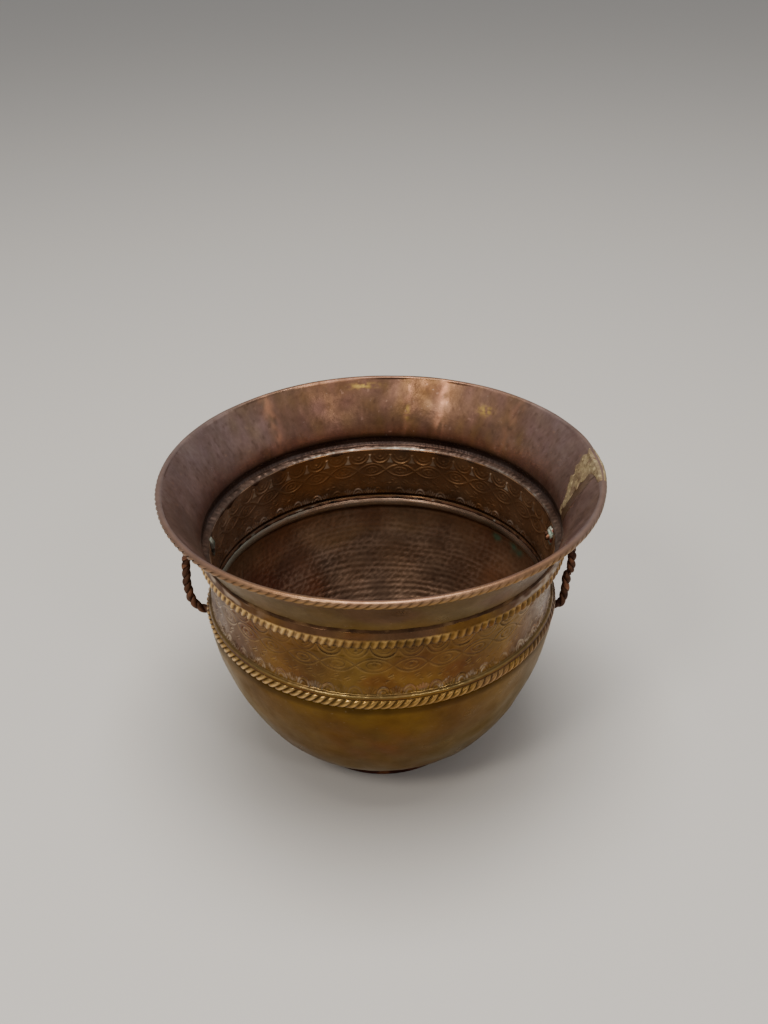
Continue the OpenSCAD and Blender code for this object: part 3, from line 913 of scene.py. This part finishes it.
def add_bowl(material):
    """The bowl below its roll: lightly dented outside, hammered in rows inside."""
    outer = bowl_line(0, 40)
    inner = bowl_line(1.0, 116)
    bottom_out = np.stack([np.linspace(BOTTOM_RADIUS - 4, 4, 9), np.full(9, BOTTOM)], 1)
    bottom_in = np.stack([np.linspace(BOTTOM_RADIUS - 2, 4, 30), np.full(30, BOTTOM + 1.0)], 1)
    top = np.array([[BOWL_RADIUS - 0.2, BOWL_TOP + 2.2], [BOWL_RADIUS - 0.5, BOWL_TOP + 4.7],
                    [BOWL_RADIUS - 1.5, BOWL_TOP + 4.7], [BOWL_RADIUS - 1.2, BOWL_TOP + 2.2]])
    profile, which = outline(bottom_out[::-1], outer[::-1], top, inner, bottom_in)
    sheet = Turned(profile, 500, closed=False)
    part = which[:, None]
    p = sheet.plain()
    x = p[..., 0]
    az, z = sheet.angle, sheet.height
    inside = part >= 3
    run = sheet.run + 1.0 * field(p, 60, 80)
    radius = sheet.profile[:, :1]
    dents = np.maximum(hammer_marks(run, az, radius, HAMMER_PITCH, 6.4, 3),
                       0.7 * hammer_marks(run + HAMMER_PITCH / 2, az + 0.4, radius, 4.0, 4.6, 13))
    rings = 0.5 + 0.5 * np.cos(TAU * run / HAMMER_PITCH)
    near_top = ease(z, 122.0, 126.0)
    low_down = 1 - ease(z, 40, 110)
    sheet.shift -= (0.5 * dents - 0.16 * rings * low_down) * inside * (1 - near_top)
    faint = hammer_marks(run * 0.8, az + 0.3, radius, 7.5, 12, 23)
    circles = np.cos(TAU * (sheet.run + 0.6 * field(p, 40, 79)) / 3.4) * spots(p, 40, 78, -0.4, 0.8)
    sheet.shift += (0.16 * field(p, 17, 81) - 0.16 * faint + 0.05 * circles) * (part == 1) * (1 - near_top)
    sheet.radius += 0.5 * np.sin(2 * az + 1.0) * ease(z, 30, 90) * (1 - near_top)

    patch = bell(x, -6, 34) * bell(z, 78, 24) * (p[..., 1] < 0)
    tint = coats(
        mix(GOLD * 0.92, BROWN * 1.55, 0.5 + 0.3 * field(p, 44, 82)),
        (OLIVE * 0.9, 0.5 * spots(p, 60, 83, 0.0, 1.0)),
        (MAUVE * 0.9, 0.35 * ease(np.abs(x) + 14 * field(p, 50, 84), 84, 132)),
        (tone(140, 78, 30), 0.7 * patch * patchy(p, 20, 85, 0.7, 0.4)))
    tint = tint * PATINA * [0.96, 0.96, 0.4]
    low = 1 - ease(z, BOTTOM, 44)
    tint = mix(tint, tone(92, 50, 30), 0.5 * low)
    # Painted shade in a dark band just under the mouth roll.
    tint = mix(tint, DARK, 0.7 * bell(z, 127.6, 2.2))

    # Painted highlights on the ridges between the dents, and painted shade in the dents.
    ridge = 1 - np.clip(dents, 0, 1)
    deep = coats(
        mix(tone(124, 102, 84), tone(96, 78, 66), 0.5 + 0.4 * field(p, 34, 86)),
        (tone(146, 116, 80), 0.75 * ease(field(p, 52, 87) + 1.2 * ease(z, 84, 122), 0.5, 1.5)),
        (tone(126, 72, 46), 0.6 * ease(field(p, 56, 88) - 0.3 * x / 60, 0.55, 1.4)),
        (tone(150, 128, 108), 0.55 * ease(z, 84, 118)),
        (tone(168, 122, 84), 0.5 * ease(x, 50, 110)),
        (tone(126, 66, 46), 0.5 * ease(-x + 10 * field(p, 30, 93), 44, 100) * (1 - ease(z, 96, 122))),
        (tone(176, 150, 130), 0.45 * ease(ridge, 0.6, 0.95) * patchy(p, 22, 89, 0.5, 0.6)),
        (DARK, 0.25 * np.clip(dents, 0, 1)))
    verdigris = (bell(az, math.radians(31), 0.06) * bell(z, 120, 4)
                 + bell(az, math.radians(41), 0.03) * bell(z, 121, 3))
    verdigris = np.clip(verdigris * (1 + 0.8 * field(p, 8, 90)), 0, 1)
    deep = mix(deep, tone(96, 150, 128), 0.75 * verdigris)
    silt = (1 - ease(z, 17, 34)) * patchy(p, 18, 91, 0.5, 0.6)
    deep = mix(deep, tone(104, 112, 100), 0.6 * silt)
    # Painted shade at the top of the inside, under the mouth roll's overhanging inner side.
    deep = mix(deep, DARK * 0.4, 0.9 * ease(z, 125.0, 127.4))
    tint = np.where((part >= 3)[..., None], deep, tint)
    grime = 0.5 * inside + 0.5 * verdigris + 0.35 * field(p, 24, 92)
    dress(turned_mesh("bowl_sheet", sheet, tint, grime, poles=True), material, "bowl_brass", "bowl")


def add_mouth_roll(material):
    """The roped roll around the bowl's mouth: notched outside, smooth inside."""
    profile = arc((MOUTH_CENTRE, MOUTH_HEIGHT), MOUTH_ROLL, 90, -250, 56)[:-1]
    sheet = Turned(profile[::-1], ROLL_NOTCHES * 8)
    p = sheet.plain()
    x = p[..., 0]
    az = sheet.angle
    phi = np.arctan2(sheet.height - MOUTH_HEIGHT, sheet.radius - MOUTH_CENTRE)
    zone = ease(phi, -1.5, -1.15) * (1 - ease(phi, 0.75, 1.15))
    wander = 0.5 * field(p, 40, 100) / MOUTH_CENTRE
    turn = rope_turn(az + wander, MOUTH_ROLL * phi, ROLL_NOTCHES, MOUTH_CENTRE, 0.8, 0.65)
    notch = (1 - np.abs(np.sin(turn / 2)) ** 0.8) * zone
    wobble = patchy(p, 30, 101, 0.9, 0.25, 0.4, 1.25)
    sheet.shift -= 1.9 * notch * wobble
    sheet.shift += 0.10 * field(p, 14, 102) - 0.1
    left = ease(-x, 10, 80)
    # Painted light: the roll is lighter on the left, with painted highlights on its lobes' crests, and
    # painted shade in the notches and on its underside.
    gold = coats(
        mix(GOLD * 0.62, GOLD, 0.35 + 0.3 * field(p, 28, 103) + 0.5 * left),
        (mix(GOLD_HIGHLIGHT, tone(236, 202, 140), left),
         (0.5 + 0.3 * left) * rope_notches(turn + math.pi - 0.5, 0.45) * zone),
        (MAUVE * 0.9, 0.6 * ease(x, 90, 132)),
        (COPPER_TOP * 0.8, 0.25 * spots(p, 40, 104, 0, 0.9)),
        (DARK, 0.8 * np.clip(notch * 1.15, 0, 1)),
        (DARK, 0.9 * (1 - ease(phi, -1.75, -1.35))))
    # Painted shade darkens the smooth side's lower edge, where it overhangs the bowl.
    smooth = coats(
        mix(tone(158, 140, 122), tone(130, 114, 94), 0.5 + 0.4 * field(p, 36, 105)),
        (tone(92, 66, 54), 0.7 * ease(sheet.height, MOUTH_HEIGHT + 1.4, MOUTH_HEIGHT + 3.2)),
        (tone(164, 172, 160), 0.7 * ease(-x + 20 * field(p, 30, 106), 60, 110)),
        (DARK * 0.4, 0.9 * (1 - ease(sheet.height, MOUTH_HEIGHT - 3.8, MOUTH_HEIGHT - 2.4))))
    tint = mix(smooth, gold, ease(np.cos(phi), -0.35, 0.05))
    grime = notch + 0.25
    dress(turned_mesh("bowl_mouth_roll", sheet, tint, grime), material, "bowl_brass", "bowl")


def add_foot(material):
    """The foot ring: a bent strip, wider at the floor."""
    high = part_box("foot_ring")[1]
    foot, top = high.x / MM, high.z / MM
    profile = [[foot - 3.3, 0.2], [foot - 2.9, 0], [foot - 0.6, 0], [foot, 0.5], [foot - 0.1, 1.6],
               [foot - 1.4, 2.6], [BOTTOM_RADIUS + 0.7, 8], [BOTTOM_RADIUS - 0.2, top - 0.1],
               [BOTTOM_RADIUS - 1.3, top - 0.1], [BOTTOM_RADIUS - 0.9, 8], [foot - 3.1, 2.8],
               [foot - 3.4, 1.4]]
    sheet = Turned(curve(profile, 40), 480)
    p = sheet.plain()
    sheet.height = np.maximum(sheet.height, 0)
    sheet.shift += np.minimum(0.14 * field(p, 13, 111) - 0.12, 0) * ease(sheet.height, 0.8, 2.5)
    tint = mix(tone(86, 44, 30), tone(52, 28, 22), 0.5 + 0.5 * field(p, 16, 112))
    tint = mix(tint, tone(150, 96, 60), 0.5 * spots(p, 12, 113, 0.7, 1.2))
    dress(turned_mesh("foot_ring_sheet", sheet, tint, 0.5), material, "foot_copper", "foot_ring")


# ---- handles

ROPE_END = 127.4
UPPER_HOLE, LEFT_HOLE, RIGHT_HOLE = 178.0, 117.0, 113.5
SHOULDER = [[ROPE_END, UPPER_HOLE], [137, UPPER_HOLE], [144.6, UPPER_HOLE - 3]]
LEFT_ROUTE = SHOULDER + [[149.6, 166], [151.3, 152], [151.5, 138], [149.3, 127], [144.5, 119.8],
                         [138, LEFT_HOLE], [ROPE_END, LEFT_HOLE]]
RIGHT_ROUTE = SHOULDER + [[148.4, 165], [148.9, 152], [148.6, 146.5], [146.4, 142.5], [145.9, 134],
                          [145.4, 124], [143.8, 116.2], [139.5, 113.3], [ROPE_END, RIGHT_HOLE]]
PITCH = 15.0
STRAND = 2.55
STRAND_OFFSET = 1.0
PINCH_HEIGHT = 144.4


def add_strand(name, side, route, phase, pinched, seed, material, node):
    """One wire of a twisted handle: it winds about the rope's middle line, flat on its partner's side."""
    mid = evenly(curve(route, 900), 420)
    n, sides = len(mid), 14
    along = np.gradient(mid, axis=0)
    along /= np.linalg.norm(along, axis=1)[:, None]
    run = np.concatenate([[0], np.cumsum(np.linalg.norm(np.diff(mid, axis=0), axis=1))])
    spot3 = np.stack([mid[:, 0], 0 * run, mid[:, 1]], 1)
    turn = TAU * run / PITCH + phase + 0.25 * field(spot3, 22, 150 + 10 * side)
    squeeze = 1 - (0.42 * bell(mid[:, 1], PINCH_HEIGHT, 1.1) if pinched else 0)
    squeeze = squeeze * (1 + 0.06 * field(spot3, 7, seed + 1))
    w = np.linspace(0, TAU, sides, endpoint=False)
    wide = 1 / math.cos(math.atan(TAU * STRAND_OFFSET / PITCH))
    out = np.maximum(STRAND_OFFSET + STRAND * np.cos(w), 0.03)[None, :] * squeeze[:, None]
    around = (STRAND * wide * np.sin(w))[None, :] * squeeze[:, None]
    c, s = np.cos(turn)[:, None], np.sin(turn)[:, None]
    across = out * c - around * s
    sideways = out * s + around * c
    points = np.stack([side * (mid[:, :1] - along[:, 1:] * across), sideways,
                       mid[:, 1:] + along[:, :1] * across], -1)
    flat = points.reshape(-1, 3)
    lit_crown = (np.hypot(across, sideways) > 2.8).reshape(-1)
    # Painted highlights in spots on each wire's outer crown, and painted shade where the wire lies against
    # its partner.
    tint = mix(tone(112, 80, 62), tone(72, 48, 38), 0.5 + 0.5 * field(flat, 7, seed + 2))
    tint = mix(tint, tone(170, 120, 92), 0.5 * lit_crown * spots(flat, 9, seed + 3, 0.1, 0.9))
    tint = mix(tint, DARK * 0.5, 0.85 * (np.hypot(across, sideways) < 1.9).reshape(-1))
    piece = make_mesh(name, flat, grid_faces(n, sides), tint, end_caps(n, sides), np.full(len(flat), 0.5))
    dress(piece, material, "handle_wire", node)


def add_handles(material):
    """Both handles, of two wires each. The right one is pinched a little above its middle."""
    for side, label, route in ((-1, "left", LEFT_ROUTE), (1, "right", RIGHT_ROUTE)):
        for strand, phase in (("a", 0.6), ("b", 0.6 + math.pi)):
            add_strand(f"{label}_handle_wire_{strand}", side, route, phase, side > 0,
                       120 + 10 * side + ord(strand), material, f"{label}_handle_strand_{strand}")


def lump(centre, size, seed, rows=26, columns=40):
    """A rough blob, as points and faces, closed at both ends."""
    a = np.linspace(-math.pi / 2, math.pi / 2, rows)[1:-1, None]
    b = np.linspace(0, TAU, columns, endpoint=False)[None, :]
    ball = np.stack([np.cos(a) * np.cos(b), np.cos(a) * np.sin(b), np.sin(a) + 0 * b], -1)
    ball = ball * (1 + 0.16 * field(ball * 10, 9, seed) + 0.07 * field(ball * 10, 3.5, seed + 1))[..., None]
    grid = centre + ball * size
    n, m = grid.shape[:2]
    return grid.reshape(-1, 3), grid_faces(n, m), end_caps(n, m)


def add_solder(label, side, lower_hole, material):
    """Smeared solder over a handle's two ends inside the wall, as one piece."""
    wall = WALL - 1.2 + side * 1.6
    upper = lump([side * (wall - 0.2), 0.5 * side, UPPER_HOLE - 0.5], [2.6, 4.3, 7.4], 150 + side)
    lower = lump([side * (WALL + 0.8), 0, lower_hole], [3.2, 4.6, 5.0], 160 + side)
    offset = len(upper[0])
    points = np.vstack([upper[0], lower[0]])
    quads = np.vstack([upper[1], lower[1] + offset])
    caps = upper[2] + [[v + offset for v in cap] for cap in lower[2]]
    tint = mix(TIN, tone(150, 172, 156), spots(points, 6, 171, -0.2, 0.8)) * (0.75 + 0.25 * side)
    reddened = field(points, 7, 172 + side) + 0.05 * (176 - points[:, 2])
    tint = mix(tint, tone(140, 60, 44), 0.9 * ease(reddened, 0.4, 0.9) * ease(points[:, 2], 160, 165))
    tint = mix(tint, DARK, 0.8 * spots(points, 5, 174, 0.7, 1.1))
    piece = make_mesh(f"{label}_handle_solder_lumps", points, quads, tint, caps, np.full(len(points), 0.6))
    dress(piece, material, "soft_solder", f"{label}_handle_solder")


# ---- stage

def plain_material(name, colour, roughness):
    """A material of one colour."""
    material = bpy.data.materials.new(name)
    material.use_nodes = True
    shader = material.node_tree.nodes["Principled BSDF"]
    shader.inputs["Base Color"].default_value = (*colour, 1)
    shader.inputs["Roughness"].default_value = roughness
    return material


def add_floor():
    """A pale floor under the pot."""
    bpy.ops.mesh.primitive_plane_add(size=30, location=(0, 6, cad_low[2]))
    floor = bpy.context.object
    floor.name = "floor"
    floor.data.materials.append(plain_material("pale_floor", tone(205, 198, 188), 0.6))


def add_light(name, place, width, height, power, colour=(1, 1, 1)):
    """A rectangular light that points at the pot."""
    data = bpy.data.lights.new(name, "AREA")
    data.shape = "RECTANGLE"
    data.size, data.size_y = width, height
    data.energy = power
    data.color = colour
    light = bpy.data.objects.new(name, data)
    light.location = place
    ahead = Vector((0, 0, cad_high[2] * 0.6)) - Vector(place)
    light.rotation_euler = ahead.to_track_quat("-Z", "Y").to_euler()
    bpy.context.scene.collection.objects.link(light)


def add_lights():
    """A soft room, a broad light overhead, a warm one from the left and a weak one from the right."""
    world = bpy.data.worlds.new("soft_room")
    world.use_nodes = True
    world.node_tree.nodes["Background"].inputs[0].default_value = (0.80, 0.82, 0.86, 1)
    world.node_tree.nodes["Background"].inputs[1].default_value = 0.42
    bpy.context.scene.world = world
    add_light("ceiling", (0.0, -0.1, 2.4), 1.3, 1.3, 58)
    add_light("window", (-0.9, -1.2, 1.75), 0.4, 0.5, 13, (1.0, 0.97, 0.92))
    add_light("fill", (0.85, -1.5, 1.5), 0.3, 0.3, 4.5, (0.97, 0.97, 1.0))


def carried_over(name, like):
    """A CAD node that stays as it is gets a worn metal of its own."""
    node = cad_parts[name]
    node.data.materials.clear()
    node.data.materials.append(like)


add_camera()
add_floor()
add_lights()
# The numbers of a metal are roughness, grain, depth of dents, colour and amount of specks, and how metallic.
add_collar(metal("worn_copper", 0.34, 70, 0.2, (0.75, 0.6, 0.5), 0.12, 0.8))
add_rim_wire(metal("core_wire", 0.5, 160, 0.4))
add_braze(metal("rough_braze", 0.55, 160, 0.8))
add_collar_solder(metal("dark_solder", 0.55, 160, 0.5))
band_metal = metal("embossed_brass", 0.3, 90, 0.2, (0.7, 0.55, 0.35), 0.1, 0.85)
add_band_bead(band_metal)
add_band_outside(band_metal)
add_band_inside(band_metal)
add_band_solder(metal("grey_solder", 0.5, 160, 0.5))
bowl_metal = metal("bowl_brass", 0.34, 60, 0.2, (0.6, 0.5, 0.38), 0.1, 0.8, edge=(0.98, 0.93, 0.8))
add_bowl(bowl_metal)
add_mouth_roll(metal("roll_brass", 0.28, 110, 0.2, (0.8, 0.65, 0.4), 0.15, 0.85))
add_foot(metal("dark_copper", 0.5, 110, 0.4))
add_handles(metal("dark_wire", 0.46, 220, 0.5))
solder_metal = metal("tin_solder", 0.5, 260, 0.8)
add_solder("left", -1, LEFT_HOLE, solder_metal)
add_solder("right", 1, RIGHT_HOLE, solder_metal)
carried_over("foot_solder", metal("foot_solder_metal", 0.55, 120, 0.3, colour=tone(120, 118, 108)))
